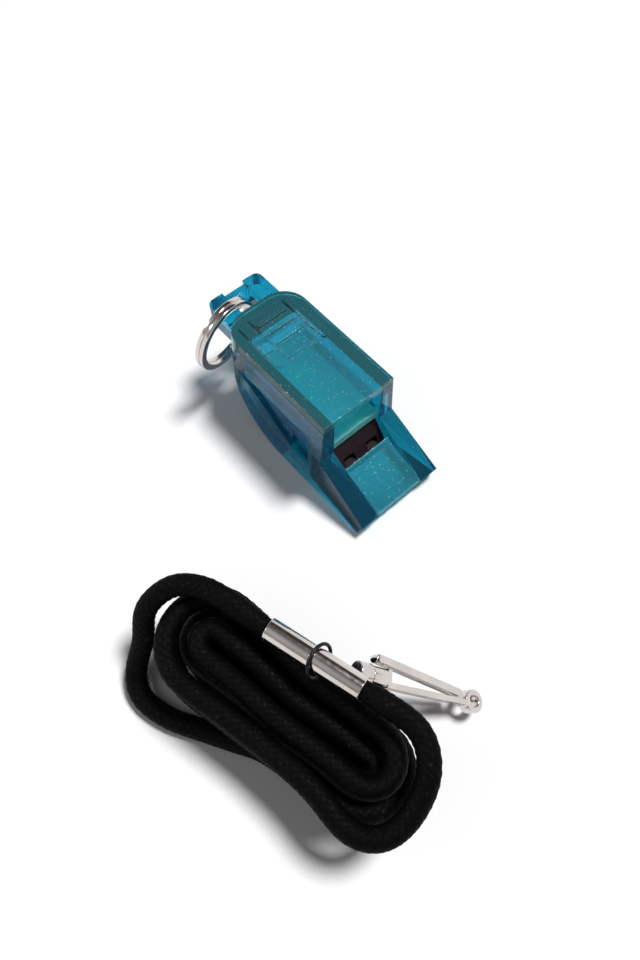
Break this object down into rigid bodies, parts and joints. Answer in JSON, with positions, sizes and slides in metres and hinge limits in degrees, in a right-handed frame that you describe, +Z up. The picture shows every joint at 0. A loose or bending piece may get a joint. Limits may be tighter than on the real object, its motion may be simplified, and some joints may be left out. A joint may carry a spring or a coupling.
{
  "type": "pealess training whistle with lanyard",
  "caption": "Pealess training whistle with a wedge mouthpiece, side sound holes, a split ring in its rear lug and a folded cord lanyard with a spring hook.",
  "frame": {"origin": "on the flat base of the whistle, below the front edge of the top cover and midway between the sides", "axes": "+X toward the mouthpiece, +Z up from the base, +Y to the whistle's left"},
  "size_m": [0.1112, 0.0856, 0.0285],
  "materials": {
    "body": "translucent teal with fine glitter",
    "cover": "translucent teal with fine glitter",
    "insert": "dark maroon",
    "steel": "nickel plated",
    "dark_wire": "black",
    "cord": "black round braid"
  },
  "bodies": {
    "whistle": {"body_shell": "body", "base_plate": "body", "top_cover": "cover", "chamber_floor": "body", "centre_web": "body", "windway_insert": "insert", "mouth_plate": "cover", "side_plate_left": "body", "side_plate_right": "body"},
    "ring": {"split_ring": "steel"},
    "lanyard": {"lanyard_hank": "cord", "lanyard_lead_low": "cord", "lanyard_lead_high": "cord", "joining_sleeve": "steel"},
    "keeper": {"keeper_ring": "dark_wire"},
    "hook": {"swivel_stud": "steel", "hook_base": "steel", "hook_shank": "steel"},
    "gate": {"hook_gate": "steel"}
  },
  "joints": [
    {"name": "ring_swing", "type": "hinge", "parent": "whistle", "child": "ring", "pos_m": [-0.0386, -0.0053, 0.0216], "axis": [0.9728, 0.2068, -0.1045], "range_deg": [-105, 5]},
    {"name": "lanyard_lift", "type": "slide", "parent": "whistle", "child": "lanyard", "axis": [0, 0, 1], "range_m": [0, 0.15]},
    {"name": "keeper_slide", "type": "slide", "parent": "lanyard", "child": "keeper", "axis": [0.9588, 0.284, 0], "range_m": [-0.0015, 0.0025]},
    {"name": "hook_swivel", "type": "hinge", "parent": "lanyard", "child": "hook", "pos_m": [0.04162, -0.03623, 0.01928], "axis": [0.6112, 0.5601, -0.5592], "range_deg": [-90, 90]},
    {"name": "hook_gate", "type": "hinge", "parent": "hook", "child": "gate", "pos_m": [0.05495, -0.02273, 0.00651], "axis": [-0.4123, -0.3778, -0.829], "range_deg": [0, 18], "stiffness_Nm_per_rad": 0.01}
  ]
}
